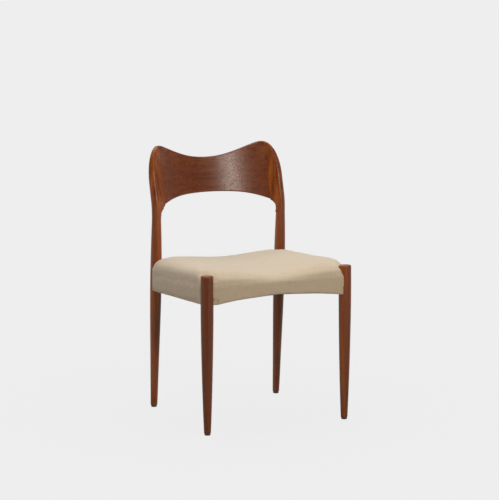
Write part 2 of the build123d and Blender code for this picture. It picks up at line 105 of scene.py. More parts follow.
# Posts that stand in the seat's notches, and how far and how deep the cushion falls away to them.
FRONT_LEG = (0.2243, -0.2292)
FRONT_LEG_HOLE = 0.0190
FRONT_LEG_FALL = (0.034, 0.0065)
STILE = (0.209, 0.15185)
STILE_HOLE = 0.0195
STILE_FALL = (0.028, 0.0045)
NOTCH_LOW = 0.340
NOTCH_HIGH = 0.500
# Notches: their places front to back and radii at those two heights.
FRONT_LEG_NOTCH = ((-0.2292, -0.2292), (0.01925, 0.01785))
STILE_NOTCH = ((0.15612, 0.14879), (0.0180, 0.0167))
# Cutters: sides of a round one, the height of their middle, and the size of a square one.
CUTTER_SIDES = 64
CUTTER_MIDDLE = 0.42
CUTTER_LONG = 0.30
CUTTER_SQUARE = 0.10

# Padding: how it is divided, blown up and held.
PAD_CUTS = 47
PAD_VOXEL = 0.0055
PAD_SOFTEN = (0.5, 6)
PAD_PROUD = 0.0008
PAD_SLACK = 0.0010
PAD_SWELL = 0.0018
PAD_SKIN = 0.0005
PAD_GIVE = 0.016
PAD_FACING = 0.4
PAD_PRESSURE = 4.0
PAD_FRAMES = 20
PAD_CREASE = math.radians(50)
TACKED_HIGH = 0.004
# Points this close together are one.
MERGE = 0.00002

# Dust cloth and its staples.
DUST_INSET = 0.014
DUST_THICK = 0.0008
DUST_GRID = (40, 36)
DUST_CREASE = math.radians(40)
STAPLE_CROWN = 0.0100
STAPLE_WIRE = 0.0012
STAPLE_FLAT = 0.6
STAPLE_LEG = 0.5
STAPLE_EDGE = 0.18
STAPLE_STEP = 0.034
STAPLE_INSET = 0.006
STAPLE_SUNK = 0.2
# Hand-driven staples stand a little askew: by how much, and how it changes from one to the next.
STAPLE_SKEW = 0.12
STAPLE_SKEW_STEP = 2.4

SIDES = (-1, 1)


def post_fall(x, y):
    """How far the cushion drops away beside a leg or stile."""
    drop = 0.0
    for (post_x, post_y), hole, (reach, depth) in (
        (FRONT_LEG, FRONT_LEG_HOLE, FRONT_LEG_FALL),
        (STILE, STILE_HOLE, STILE_FALL),
    ):
        gap = math.hypot(abs(x) - post_x, y - post_y) - hole
        drop += depth * max(0.0, 1 - max(gap, 0.0) / reach) ** 2
    return drop


def seat_top(x, y):
    """Height of the dished top: low in the middle, full at the sides, falling away to the posts."""
    behind = y - SEAT_CREST_Y
    crest = SEAT_CREST - (SEAT_FALL_REAR * behind**2 if behind > 0 else SEAT_FALL * behind**4)
    rise = min(SEAT_SIDE_RISE - SEAT_SIDE_RISE_CHANGE * y, SEAT_SIDE_RISE_MOST)
    rise -= SEAT_FRONT_FALL * max(0.0, 1 - (y - SEAT_FRONT) / SEAT_FRONT_FALL_REACH) ** 2
    wave = (1 - math.cos(math.pi * min(abs(x) / SEAT_SIDE_RISE_X, 1.0))) / 2
    return crest + rise * wave - post_fall(x, y)


def seat_low(x, y):
    """Height of the underside, arched across the front; the cloth hangs lowest beside the front legs."""
    front = SEAT_LOW_FRONT - SEAT_LOW_DROP * (abs(x) / SEAT_LOW_X) ** SEAT_LOW_POWER
    part = (y - SEAT_FRONT) / (SEAT_LOW_REAR_Y - SEAT_FRONT)
    out = max(0.0, abs(x) - SEAT_HANG_FROM_X) / (SEAT_HANG_X - SEAT_HANG_FROM_X)
    near = min(1.0, max(0.0, 1 - (y - SEAT_FRONT) / SEAT_HANG_REACH))
    return front + (SEAT_LOW_REAR - front) * part - SEAT_HANG * out**SEAT_HANG_POWER * near


def seat_half_width(y):
    """Half the seat's width, a little narrower towards the back and rounded in beside the stiles."""
    part = (y - FRONT_LEG[1]) / (SEAT_SHOULDER - FRONT_LEG[1])
    deep, long = SEAT_SHOULDER_ROUND
    past = min(1.0, max(0.0, 1 + (y - SEAT_SHOULDER) / long))
    turn_in = deep * (1 - math.sqrt(1 - past**2))
    return SEAT_FRONT_X + (SEAT_REAR_X - SEAT_FRONT_X) * min(part, 1.0) - turn_in


def seat_front_line(x):
    """The seat's front in plan: straight, and turned back beside the legs."""
    past = min(max(0.0, abs(x) - SEAT_CORNER_X), SEAT_CORNER_ROUND)
    return SEAT_FRONT + SEAT_CORNER_ROUND - math.sqrt(SEAT_CORNER_ROUND**2 - past**2)


def start_piece(name):
    """Names the primitive that was just added and gives it back."""
    piece = bpy.context.object
    piece.name = name
    piece.data.name = name
    return piece


def only(piece):
    """Selects one piece alone."""
    bpy.ops.object.select_all(action="DESELECT")
    piece.select_set(True)
    bpy.context.view_layer.objects.active = piece


def settle(piece):
    """Puts a piece's place into its mesh."""
    only(piece)
    bpy.ops.object.transform_apply(location=True, rotation=True, scale=True)


def finish_modifiers(piece):
    """Applies a piece's modifiers in order."""
    only(piece)
    for name in [m.name for m in piece.modifiers]:
        bpy.ops.object.modifier_apply(modifier=name)


def join(pieces, name):
    """Joins several meshes into one piece."""
    bpy.ops.object.select_all(action="DESELECT")
    for piece in pieces:
        piece.select_set(True)
    bpy.context.view_layer.objects.active = pieces[0]
    bpy.ops.object.join()
    return start_piece(name)


def pull_faces(piece, chosen, way):
    """Extrudes the chosen faces of a piece."""
    only(piece)
    bpy.ops.object.mode_set(mode="EDIT")
    bpy.ops.mesh.select_mode(type="FACE")
    bpy.ops.mesh.select_all(action="DESELECT")
    bpy.ops.object.mode_set(mode="OBJECT")
    for face in piece.data.polygons:
        face.select = chosen(face)
    bpy.ops.object.mode_set(mode="EDIT")
    bpy.ops.mesh.extrude_region_move(TRANSFORM_OT_translate={"value": way})
    bpy.ops.object.mode_set(mode="OBJECT")


def round_cutter(x, y, radius):
    """An upright round bar to cut with."""
    bpy.ops.object.select_all(action="DESELECT")
    bpy.ops.mesh.primitive_cylinder_add(
        vertices=CUTTER_SIDES, radius=radius, depth=CUTTER_LONG, location=(x, y, CUTTER_MIDDLE)
    )
    tool = start_piece("round_cutter")
    settle(tool)
    return tool


def notch_cutter(x, places, radii):
    """A tapered bar that leans as its post does, to cut a notch with."""
    high = NOTCH_HIGH - NOTCH_LOW
    bpy.ops.object.select_all(action="DESELECT")
    bpy.ops.mesh.primitive_cone_add(
        vertices=CUTTER_SIDES,
        radius1=radii[0],
        radius2=radii[1],
        depth=high,
        location=(x, 0, NOTCH_LOW + high / 2),
    )
    tool = start_piece("notch_cutter")
    settle(tool)
    for vertex in tool.data.vertices:
        vertex.co.y += places[0] + (places[1] - places[0]) * (vertex.co.z - NOTCH_LOW) / high
    return tool


def square_cutter(x, y, side, way):
    """An upright square bar that starts at a corner and fills the room beyond it."""
    half = CUTTER_SQUARE / 2
    bpy.ops.object.select_all(action="DESELECT")
    bpy.ops.mesh.primitive_cube_add(
        size=CUTTER_SQUARE, location=(x + side * half, y + way * half, CUTTER_MIDDLE)
    )
    tool = start_piece("square_cutter")
    tool.scale = (1.0, 1.0, CUTTER_LONG / CUTTER_SQUARE)
    settle(tool)
    return tool


def cut_away(piece, tool):
    """Cuts a shape out of a piece and throws the shape away."""
    only(piece)
    cut = piece.modifiers.new("cut", "BOOLEAN")
    cut.operation = "DIFFERENCE"
    cut.solver = "EXACT"
    cut.object = tool
    finish_modifiers(piece)
    bpy.data.objects.remove(tool)


def eased(inset, depth, roll):
    """Takes a point near a square top edge, by its distances from the two faces, onto a rolled edge."""
    out, up = 1 - inset / roll[0], 1 - depth / roll[1]
    if out <= 0 or up <= 0:
        return inset, depth
    eighth = math.pi / 4
    angle = eighth * (2 - out / up) if up >= out else eighth * up / out
    reach = max(out, up)
    return roll[0] * (1 - reach * math.cos(angle)), roll[1] * (1 - reach * math.sin(angle))


def side_roll(y):
    """The roll of the seat's sides, tighter towards the front legs."""
    near, far = SEAT_SIDE_ROLL_CHANGE
    part = min(1.0, max(0.0, (y - near) / (far - near)))
    return [front + (side - front) * part for front, side in zip(SEAT_SIDE_ROLL_FRONT, SEAT_SIDE_ROLL)]


def seat_block():
    """The seat as an upholsterer's block: plan, dished top, arched underside, rolled edges."""
    bpy.ops.object.select_all(action="DESELECT")
    bpy.ops.mesh.primitive_cube_add(size=1.0, location=(0, 0, 0))
    block = start_piece("seat_upholstery")
    bpy.ops.object.mode_set(mode="EDIT")
    bpy.ops.mesh.select_all(action="SELECT")
    bpy.ops.mesh.subdivide(number_cuts=PAD_CUTS)
    bpy.ops.object.mode_set(mode="OBJECT")
    for vertex in block.data.vertices:
        across, along, up = vertex.co
        half = seat_half_width(SEAT_FRONT + (along + 0.5) * (SEAT_REAR - SEAT_FRONT)) + PAD_PROUD
        x = across * 2 * half
        front = seat_front_line(x) - PAD_PROUD
        y = front + (along + 0.5) * (SEAT_REAR - front)
        low, top = seat_low(x, y), seat_top(x, y)
        depth = (0.5 - up) * (top - low)
        behind, depth = eased(y - front, depth, SEAT_ROLL)
        ahead, depth = eased(SEAT_REAR - front - behind, depth, SEAT_REAR_ROLL)
        inside, depth = eased(half - abs(x), depth, side_roll(y))
        vertex.co = (math.copysign(half - inside, x), SEAT_REAR - ahead, top - depth)
    return block


def cut_notches(pad):
    """Cuts the cover close round the legs and stiles, and clears the corners outside them."""
    notches, corners = [], []
    for side in SIDES:
        leg_x, leg_y = side * FRONT_LEG[0], FRONT_LEG[1]
        notches.append(notch_cutter(leg_x, *FRONT_LEG_NOTCH))
        notches.append(notch_cutter(side * STILE[0], *STILE_NOTCH))
        corners.append(square_cutter(leg_x, leg_y, side, -1))
        corners.append(square_cutter(side * SEAT_STEP_X, SEAT_CORNER_CUT, side, 1))
    cut_away(pad, join(notches, "notch_cutters"))
    cut_away(pad, join(corners, "corner_cutters"))


def drop_offcuts(pad):
    """Closes the cut edges and throws away whatever is no longer part of the seat."""
    crest = Vector((0.0, 0.0, SEAT_CREST))
    middle = min(pad.data.vertices, key=lambda vertex: (vertex.co - crest).length).co.copy()
    only(pad)
    bpy.ops.object.mode_set(mode="EDIT")
    bpy.ops.mesh.select_mode(type="VERT")
    bpy.ops.mesh.select_all(action="SELECT")
    bpy.ops.mesh.remove_doubles(threshold=MERGE)
    bpy.ops.mesh.dissolve_degenerate(threshold=MERGE)
    bpy.ops.mesh.select_all(action="DESELECT")
    bpy.ops.object.mode_set(mode="OBJECT")
    for vertex in pad.data.vertices:
        vertex.select = (vertex.co - middle).length < PAD_VOXEL
    bpy.ops.object.mode_set(mode="EDIT")
    bpy.ops.mesh.select_linked()
    bpy.ops.mesh.select_all(action="INVERT")
    bpy.ops.mesh.delete(type="VERT")
    bpy.ops.object.mode_set(mode="OBJECT")


def hold(vertex):
    """Where the cloth is tacked down and can't swell: the underside."""
    x, y, z = vertex.co
    return z < seat_low(x, y) + TACKED_HIGH


def blow_up(pad):
    """Lets the cover swell over its padding and stops each point at its cap."""
    held = pad.vertex_groups.new(name="tacked")
    held.add([v.index for v in pad.data.vertices if hold(v)], 1.0, "REPLACE")
    before = [v.co.copy() for v in pad.data.vertices]
    cloth = pad.modifiers.new("swell", "CLOTH")
    cloth.settings.quality = 5
    cloth.settings.use_pressure = True
    cloth.settings.uniform_pressure_force = PAD_PRESSURE
    cloth.settings.vertex_group_mass = "tacked"
    cloth.settings.effector_weights.gravity = 0.0
    cloth.collision_settings.use_collision = False
    cloth.point_cache.frame_start = 1
    cloth.point_cache.frame_end = PAD_FRAMES
    scene = bpy.context.scene
    for moment in range(1, PAD_FRAMES + 1):
        scene.frame_set(moment)
    finish_modifiers(pad)
    scene.frame_set(1)
    for vertex, start in zip(pad.data.vertices, before):
        way = vertex.co - start
        if way.length > PAD_SWELL:
            vertex.co = start + way * (PAD_SWELL / way.length)
    pad.vertex_groups.clear()


def pull_over_frame(pad):
    """The rails stop the cloth: nothing on the sides, front, back or underside goes in past the skin."""
    for vertex in pad.data.vertices:
        x, y, z = vertex.co
        facing = vertex.normal
        give = PAD_SKIN + max(0.0, z - RAIL_TOP) ** 2 / PAD_GIVE
        if abs(facing.x) > PAD_FACING and y < SEAT_CORNER_CUT:
            x = math.copysign(max(abs(x), seat_half_width(y) - give), x)
        if facing.y < -PAD_FACING:
            y = min(y, seat_front_line(x) + give)
        if facing.y > PAD_FACING and abs(x) < SEAT_STEP_X:
            y = max(y, SEAT_REAR - give)
        if facing.z < -PAD_FACING:
            z = min(z, seat_low(x, y) + PAD_SKIN)
        vertex.co = (x, y, z)


def lay_cloth_map(pad):
    """A map of the cloth in metres: flat on top, and folded down the front, back and sides."""
    while pad.data.uv_layers:
        pad.data.uv_layers.remove(pad.data.uv_layers[0])
    layer = pad.data.uv_layers.new(name="cloth")
    for face in pad.data.polygons:
        sideways = abs(face.normal.x) > abs(face.normal.y)
        for loop in face.loop_indices:
            x, y, z = pad.data.vertices[pad.data.loops[loop].vertex_index].co
            drop = seat_top(x, y) - z
            if sideways:
                layer.data[loop].uv = (x + math.copysign(drop, x), y)
            else:
                layer.data[loop].uv = (x, y + math.copysign(drop, y))


def seat_upholstery():
    """The padded wool seat."""
    pad = seat_block()
    remesh = pad.modifiers.new("skin", "REMESH")
    remesh.mode = "VOXEL"
    remesh.voxel_size = PAD_VOXEL
    soften = pad.modifiers.new("soften", "SMOOTH")
    soften.factor, soften.iterations = PAD_SOFTEN
    finish_modifiers(pad)
    shrink = pad.modifiers.new("slack", "DISPLACE")
    shrink.mid_level = 0.0
    shrink.strength = -PAD_SLACK
    finish_modifiers(pad)
    blow_up(pad)
    pull_over_frame(pad)
    round_off = pad.modifiers.new("round", "SUBSURF")
    round_off.levels = 1
    round_off.render_levels = 1
    finish_modifiers(pad)
    cut_notches(pad)
    drop_offcuts(pad)
    only(pad)
    bpy.ops.object.shade_smooth_by_angle(angle=PAD_CREASE)
    lay_cloth_map(pad)
    return pad


def dust_cloth():
    """The thin black cloth that closes the underside of the seat, cut round the legs and stiles."""
    low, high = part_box("dust_cover")
    bpy.ops.object.select_all(action="DESELECT")
    columns, rows = DUST_GRID
    bpy.ops.mesh.primitive_grid_add(
        x_subdivisions=columns, y_subdivisions=rows, size=1.0, location=(0, 0, 0)
    )
    cloth = start_piece("dust_cloth")
    for vertex in cloth.data.vertices:
        across, along, _ = vertex.co
        y = low.y + (along + 0.5) * (high.y - low.y)
        room = seat_half_width(y) - DUST_INSET
        x = across * 2 * min(room, high.x)
        vertex.co = (x, y, seat_low(x, y) - DUST_THICK)
    for side in SIDES:
        cut_away(cloth, round_cutter(side * FRONT_LEG[0], FRONT_LEG[1], FRONT_LEG_HOLE + DUST_INSET))
        cut_away(cloth, round_cutter(side * STILE[0], STILE[1], STILE_HOLE + DUST_INSET))
    wall = cloth.modifiers.new("cloth", "SOLIDIFY")
    wall.thickness = DUST_THICK
    wall.offset = 0.0
    finish_modifiers(cloth)
    only(cloth)
    bpy.ops.object.shade_smooth_by_angle(angle=DUST_CREASE)
    return cloth


def staple():
    """One staple, crown down, its two legs turned up into the cloth."""
    inner = STAPLE_CROWN / 2 - STAPLE_WIRE
    bpy.ops.object.select_all(action="DESELECT")
    bpy.ops.mesh.primitive_cube_add(size=1.0, location=(-inner - STAPLE_WIRE / 2, 0, 0))
    wire = start_piece("staple")
    wire.scale = (STAPLE_WIRE, STAPLE_WIRE, STAPLE_WIRE * STAPLE_FLAT)
    settle(wire)
    for length in (2 * inner, STAPLE_WIRE):
        end = max(face.center.x for face in wire.data.polygons)
        pull_faces(wire, lambda face: face.center.x > end - MERGE, (length, 0, 0))
    up = (0, 0, STAPLE_WIRE * STAPLE_LEG)
    pull_faces(wire, lambda face: face.normal.z > 0.9 and abs(face.center.x) > inner, up)
    only(wire)
    bpy.ops.object.mode_set(mode="EDIT")
    bpy.ops.mesh.select_all(action="SELECT")
    bpy.ops.mesh.normals_make_consistent(inside=False)
    bpy.ops.mesh.select_mode(type="EDGE")
    bpy.ops.mesh.bevel(offset=STAPLE_WIRE * STAPLE_EDGE, segments=1, affect="EDGES")
    bpy.ops.object.mode_set(mode="OBJECT")
    return wire


def staple_places():
    """Where the staples sit round the dust cloth: each a point and the turn of its crown."""
    low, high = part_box("dust_cover")
    front = low.y + STAPLE_INSET
    rear = high.y - STAPLE_INSET
    places = []
    reach_front = FRONT_LEG[0] - FRONT_LEG_HOLE - DUST_INSET - STAPLE_CROWN
    reach_rear = STILE[0] - STILE_HOLE - DUST_INSET - STAPLE_CROWN
    for y, reach in ((front, reach_front), (rear, reach_rear)):
        count = int(2 * reach / STAPLE_STEP)
        for i in range(count + 1):
            places.append((-reach + 2 * reach * i / count, y, 0.0))
    near = FRONT_LEG[1] + FRONT_LEG_HOLE + DUST_INSET + STAPLE_CROWN
    far = STILE[1] - STILE_HOLE - DUST_INSET - STAPLE_CROWN
    count = int((far - near) / STAPLE_STEP)
    for side in SIDES:
        for i in range(count + 1):
            y = near + (far - near) * i / count
            places.append((side * (seat_half_width(y) - DUST_INSET - STAPLE_INSET), y, math.pi / 2))
    return places


def dust_staples():
    """All the staples of the dust cloth as one piece."""
    first = staple()
    row = []
    for number, (x, y, turn) in enumerate(staple_places()):
        copy = first.copy()
        copy.data = first.data.copy()
        bpy.context.scene.collection.objects.link(copy)
        skew = STAPLE_SKEW * math.sin(STAPLE_SKEW_STEP * number)
        cloth_face = seat_low(x, y) - DUST_THICK * 1.5
        copy.location = (x, y, cloth_face - STAPLE_WIRE * STAPLE_SUNK)
        copy.rotation_euler = (0, 0, turn + skew)
        row.append(copy)
    bpy.data.objects.remove(first)
    piece = join(row, "dust_staples")
    settle(piece)
    return piece


def group(name, inputs, outputs):
    """A shader group with its sockets: inputs and outputs as (name, kind, value)."""
    tree = bpy.data.node_groups.new(name, "ShaderNodeTree")
    for label, kind, value in inputs:
        socket = tree.interface.new_socket(label, in_out="INPUT", socket_type="NodeSocket" + kind)
        if value is not None:
            socket.default_value = value
    for label, kind in outputs:
        tree.interface.new_socket(label, in_out="OUTPUT", socket_type="NodeSocket" + kind)
    return tree, tree.nodes.new("NodeGroupInput"), tree.nodes.new("NodeGroupOutput")


def node(tree, kind, **settings):
    """A shader node: plain settings by name, and socket values by number in 'values'."""
    made = tree.nodes.new("ShaderNode" + kind)
    for socket, value in settings.pop("values", {}).items():
        made.inputs[socket].default_value = value
    for key, value in settings.items():
        setattr(made, key, value)
    return made


def maths(tree, operation, first, second):
    """One step of arithmetic on two sockets or numbers."""
    made = node(tree, "Math", operation=operation)
    for socket, value in zip(made.inputs, (first, second)):
        if isinstance(value, (int, float)):
            socket.default_value = value
        else:
            tree.links.new(value, socket)
    return made.outputs[0]


def stretched_noise(tree, vector, stretch, detail=4.0, distortion=0.0):
    """Noise drawn out along one way."""
    mapping = node(tree, "Mapping", values={"Scale": stretch})
    tree.links.new(vector, mapping.inputs["Vector"])
    noise = node(tree, "TexNoise", values={"Scale": 1.0, "Detail": detail, "Distortion": distortion})
    tree.links.new(mapping.outputs[0], noise.inputs["Vector"])
    return noise.outputs["Fac"]


def spread(tree, value, low, high, to_low=0.0, to_high=1.0):
    """Stretches part of a value's range to another, and holds it there."""
    made = node(tree, "MapRange", clamp=True, values={1: low, 2: high, 3: to_low, 4: to_high})
    tree.links.new(value, made.inputs[0])
    return made.outputs[0]


def blend_colours(tree, factor, first, second, way="MIX"):
    """Mixes two colours, each a socket or a value."""
    made = node(tree, "Mix", data_type="RGBA", blend_type=way)
    for socket, value in ((made.inputs[0], factor), (made.inputs[6], first), (made.inputs[7], second)):
        if hasattr(value, "links"):
            tree.links.new(value, socket)
        else:
            socket.default_value = value
    return made.outputs[2]


# Teak: how each layer of its figure is drawn out across and along the grain, per metre.
STREAKS = (80, 80, 1.1)
GROWTH_LINES = (210, 210, 3.0)
FIBRES = (620, 620, 14)
PORES = (1500, 1500, 55)
# How strongly the growth lines and fibres tone the wood, and how they and the pores dull it.
LINE_TONE = 0.45
FIBRE_TONES = (0.86, 1.12)
FIBRE_ROUGH = (0.22, 0.36)
PORE_ROUGH = 0.15
LINE_ROUGH = 0.10
FIBRE_RELIEF = 0.25
# Wear and painted highlight: the size of its patches, the heights where feet are scuffed, and how far it
# changes the wood.
WEAR_PATCHES = (24, 24, 24)
SCUFFED_FEET = (0.09, 0.005)
WORN_AND_HIGHLIGHT_SHARE = 0.35
SCUFFED_SHARE = 0.45
SCUFFED_ROUGH = 0.2
# Cloth: how its threads wander, how its slubs run, and how weave and slubs tone and raise it.
THREAD_WANDER = (60, 60, 60)
THREAD_SWAY = 3.0
WARP_SLUBS = (420, 24, 1)
WEFT_SLUBS = (24, 420, 1)
WEAVE_TONE = 0.06
SLUB_RELIEF = 1.2


def teak_figure():
    """Oiled teak: broad streaks, dark growth lines, fine fibres and open pores, along the vector's Z."""
    tree, given, made = group(
        "Teak figure",
        (("Vector", "Vector", None), ("Pale", "Color", None), ("Dark", "Color", None),
         ("Pore depth", "Float", 0.5)),
        (("Colour", "Color"), ("Roughness", "Float"), ("Height", "Float")),
    )
    vector = given.outputs["Vector"]
    streaks = stretched_noise(tree, vector, STREAKS, 3.0, 0.25)
    lines = stretched_noise(tree, vector, GROWTH_LINES, 3.0, 0.3)
    fibres = stretched_noise(tree, vector, FIBRES, 2.0)
    pores = stretched_noise(tree, vector, PORES, 1.0)
    figure = spread(tree, streaks, 0.32, 0.68)
    dark_lines = spread(tree, lines, 0.52, 0.72)
    grain = spread(tree, fibres, 0.3, 0.7)
    open_pores = spread(tree, pores, 0.60, 0.72)
    wood = blend_colours(tree, figure, given.outputs["Dark"], given.outputs["Pale"])
    line_depth = maths(tree, "MULTIPLY", dark_lines, LINE_TONE)
    wood = blend_colours(tree, line_depth, wood, given.outputs["Dark"])
    shade = spread(tree, grain, 0.0, 1.0, *FIBRE_TONES)
    shaded = node(tree, "VectorMath", operation="SCALE")
    tree.links.new(wood, shaded.inputs[0])
    tree.links.new(shade, shaded.inputs["Scale"])
    pore_tone = maths(tree, "MULTIPLY", open_pores, given.outputs["Pore depth"])
    dark_pores = node(tree, "VectorMath", operation="SCALE")
    tree.links.new(shaded.outputs[0], dark_pores.inputs[0])
    tree.links.new(maths(tree, "SUBTRACT", 1.0, pore_tone), dark_pores.inputs["Scale"])
    tree.links.new(dark_pores.outputs[0], made.inputs["Colour"])
    rough = spread(tree, grain, 0.0, 1.0, *FIBRE_ROUGH)
    rough = maths(tree, "ADD", rough, maths(tree, "MULTIPLY", open_pores, PORE_ROUGH))
    rough = maths(tree, "ADD", rough, maths(tree, "MULTIPLY", dark_lines, LINE_ROUGH))
    tree.links.new(rough, made.inputs["Roughness"])
    height = maths(tree, "SUBTRACT", maths(tree, "MULTIPLY", grain, FIBRE_RELIEF), open_pores)
    tree.links.new(height, made.inputs["Height"])
    return tree


def handling_wear():
    """Where hands and floors have worn the wood: paler tops and dull, dark feet; the paler band on the front
    legs' tops is a painted highlight.
    """
    tree, given, made = group(
        "Handling wear",
        (("Vector", "Vector", None), ("Rubbed from", "Float", 0.70), ("Rubbed to", "Float", 0.80)),
        (("Rubbed", "Float"), ("Scuffed", "Float")),
    )
    parts = node(tree, "SeparateXYZ")
    tree.links.new(given.outputs["Vector"], parts.inputs[0])
    height = node(tree, "MapRange", clamp=True)
    tree.links.new(parts.outputs["Z"], height.inputs[0])
    tree.links.new(given.outputs["Rubbed from"], height.inputs[1])
    tree.links.new(given.outputs["Rubbed to"], height.inputs[2])
    high = height.outputs[0]
    low = spread(tree, parts.outputs["Z"], *SCUFFED_FEET)
    patches = stretched_noise(tree, given.outputs["Vector"], WEAR_PATCHES, 4.0)
    broken = spread(tree, patches, 0.40, 0.65)
    tree.links.new(maths(tree, "MULTIPLY", high, broken), made.inputs["Rubbed"])
    tree.links.new(maths(tree, "MULTIPLY", low, broken), made.inputs["Scuffed"])
    return tree


def cloth_weave():
    """Plain weave on a cloth map in metres: threads over and under, with slubs and flecks."""
    tree, given, made = group(
        "Cloth weave",
        (("Vector", "Vector", None), ("Threads", "Float", 500.0), ("Fleck", "Float", 0.5)),
        (("Tone", "Float"), ("Height", "Float")),
    )
    parts = node(tree, "SeparateXYZ")
    tree.links.new(given.outputs["Vector"], parts.inputs[0])
    wander = stretched_noise(tree, given.outputs["Vector"], THREAD_WANDER, 2.0)
    sway = maths(tree, "MULTIPLY", maths(tree, "SUBTRACT", wander, 0.5), THREAD_SWAY)
    turns = maths(tree, "MULTIPLY", given.outputs["Threads"], math.pi)
    waves = []
    for axis in "XY":
        turn = maths(tree, "ADD", maths(tree, "MULTIPLY", parts.outputs[axis], turns), sway)
        waves.append(maths(tree, "SINE", turn, 0.0))
    over = maths(tree, "MULTIPLY", *waves)
    warp = stretched_noise(tree, given.outputs["Vector"], WARP_SLUBS, 3.0)
    weft = stretched_noise(tree, given.outputs["Vector"], WEFT_SLUBS, 3.0)
    slubs = maths(tree, "ADD", maths(tree, "SUBTRACT", warp, 0.5), maths(tree, "SUBTRACT", weft, 0.5))
    flecks = maths(tree, "MULTIPLY", slubs, given.outputs["Fleck"])
    tone = maths(tree, "ADD", flecks, maths(tree, "MULTIPLY", over, WEAVE_TONE))
    tree.links.new(maths(tree, "ADD", tone, 1.0), made.inputs["Tone"])
    tree.links.new(maths(tree, "ADD", over, maths(tree, "MULTIPLY", slubs, SLUB_RELIEF)), made.inputs["Height"])
    return tree


TEAK = teak_figure()
WEAR = handling_wear()
WEAVE = cloth_weave()


def material(name):
    """A new material with its shader."""
    made = bpy.data.materials.new(name)
    made.use_nodes = True
    tree = made.node_tree
    return made, tree, tree.nodes["Principled BSDF"]


def use_group(tree, group_tree, vector, **values):
    """Places a shared effect in a material."""
    placed = node(tree, "Group")
    placed.node_tree = group_tree
    tree.links.new(vector, placed.inputs["Vector"])
    for label, value in values.items():
        placed.inputs[label.replace("_", " ")].default_value = value
    return placed


def bump(tree, shader, height, strength, distance):
    """Relief on a surface."""
    made = node(tree, "Bump", values={"Strength": strength, "Distance": distance})
    tree.links.new(height, made.inputs["Height"])
    tree.links.new(made.outputs[0], shader.inputs["Normal"])


def teak(name, pale, dark, turn, pore_depth, shift, gloss, wear_and_highlight_band=(0.70, 0.80)):
    """Oiled teak with its grain turned to run along the piece."""
    made, tree, shader = material(name)
    place = node(tree, "TexCoord").outputs["Object"]
    mapping = node(tree, "Mapping", values={"Rotation": turn, "Location": shift})
    tree.links.new(place, mapping.inputs["Vector"])
    figure = use_group(tree, TEAK, mapping.outputs[0], Pale=pale, Dark=dark, Pore_depth=pore_depth)
    wear = use_group(tree, WEAR, place, Rubbed_from=wear_and_highlight_band[0], Rubbed_to=wear_and_highlight_band[1])
    # The paler band: wear on the back's top, and a painted highlight on the front legs' tops.
    highlight_and_wear_share = maths(tree, "MULTIPLY", wear.outputs["Rubbed"], WORN_AND_HIGHLIGHT_SHARE)
    worn = blend_colours(tree, highlight_and_wear_share, figure.outputs["Colour"], WORN_AND_HIGHLIGHT_TONE)
    scuffed = maths(tree, "MULTIPLY", wear.outputs["Scuffed"], SCUFFED_SHARE)
    worn = blend_colours(tree, scuffed, worn, dark)
    tree.links.new(worn, shader.inputs["Base Color"])
    dulled = maths(tree, "MULTIPLY", wear.outputs["Scuffed"], SCUFFED_ROUGH)
    rough = maths(tree, "ADD", figure.outputs["Roughness"], dulled)
    tree.links.new(rough, shader.inputs["Roughness"])
    shader.inputs["Specular IOR Level"].default_value = gloss
    bump(tree, shader, figure.outputs["Height"], 0.25, 0.0002)
    return made


def woven(name, colour, threads, fleck, rough, sheen, on_map):
    """A woven cloth."""
    made, tree, shader = material(name)
    coordinates = node(tree, "TexCoord")
    vector = coordinates.outputs["UV" if on_map else "Object"]
    weave = use_group(tree, WEAVE, vector, Threads=threads, Fleck=fleck)
    toned = node(tree, "VectorMath", operation="SCALE", values={0: colour[:3]})
    tree.links.new(weave.outputs["Tone"], toned.inputs["Scale"])
    tree.links.new(toned.outputs[0], shader.inputs["Base Color"])
    shader.inputs["Roughness"].default_value = rough
    shader.inputs["Specular IOR Level"].default_value = 0.15
    shader.inputs["Sheen Weight"].default_value = sheen
    shader.inputs["Sheen Roughness"].default_value = 0.5
    bump(tree, shader, weave.outputs["Height"], 0.35, 0.0004)
    return made


def speckled(name, colour, spot, size, rough, metal=0.0):
    """A plain hidden or small finish with a fine mottle in colour and gloss."""
    made, tree, shader = material(name)
    place = node(tree, "TexCoord").outputs["Object"]
    mottle = stretched_noise(tree, place, (size, size, size), 4.0)
    spots = spread(tree, mottle, 0.35, 0.65)
    tree.links.new(blend_colours(tree, spots, colour, spot), shader.inputs["Base Color"])
    tree.links.new(spread(tree, mottle, 0.3, 0.7, rough - 0.08, rough + 0.08), shader.inputs["Roughness"])
    shader.inputs["Metallic"].default_value = metal
    bump(tree, shader, mottle, 0.15, 0.0002)
    return made


# Which way the grain runs, and between which heights the painted highlight on the front legs' tops begins.
UP = (0.0, 0.0, 0.0)
ACROSS = (0.0, math.pi / 2, 0.0)
LEG_TOP_PAINTED_HIGHLIGHT = (0.452, 0.460)
# Wood tones: each piece differs a little, as from its own plank; the darker left front leg and right stile also
# carry painted shade, and the paler left stile painted light.
# Paler tone for the worn top of the back and for the painted highlight on the front legs' tops.
WORN_AND_HIGHLIGHT_TONE = (0.42, 0.150, 0.050, 1.0)
TEAK_PALE = (0.375, 0.096, 0.014, 1.0)
TEAK_DARK = (0.160, 0.034, 0.006, 1.0)
LEG_PALE_TONE_AND_SHADE = (0.250, 0.060, 0.011, 1.0)
LEG_DARK_TONE_AND_SHADE = (0.130, 0.028, 0.0055, 1.0)
STILE_PALE_TONE_AND_LIGHT = (0.400, 0.100, 0.015, 1.0)
STILE_DARK_TONE_AND_LIGHT = (0.165, 0.034, 0.006, 1.0)
VENEER_PALE = (0.215, 0.048, 0.0085, 1.0)
VENEER_DARK = (0.140, 0.029, 0.0055, 1.0)
BEECH_PALE = (0.62, 0.43, 0.26, 1.0)
BEECH_DARK = (0.50, 0.32, 0.18, 1.0)
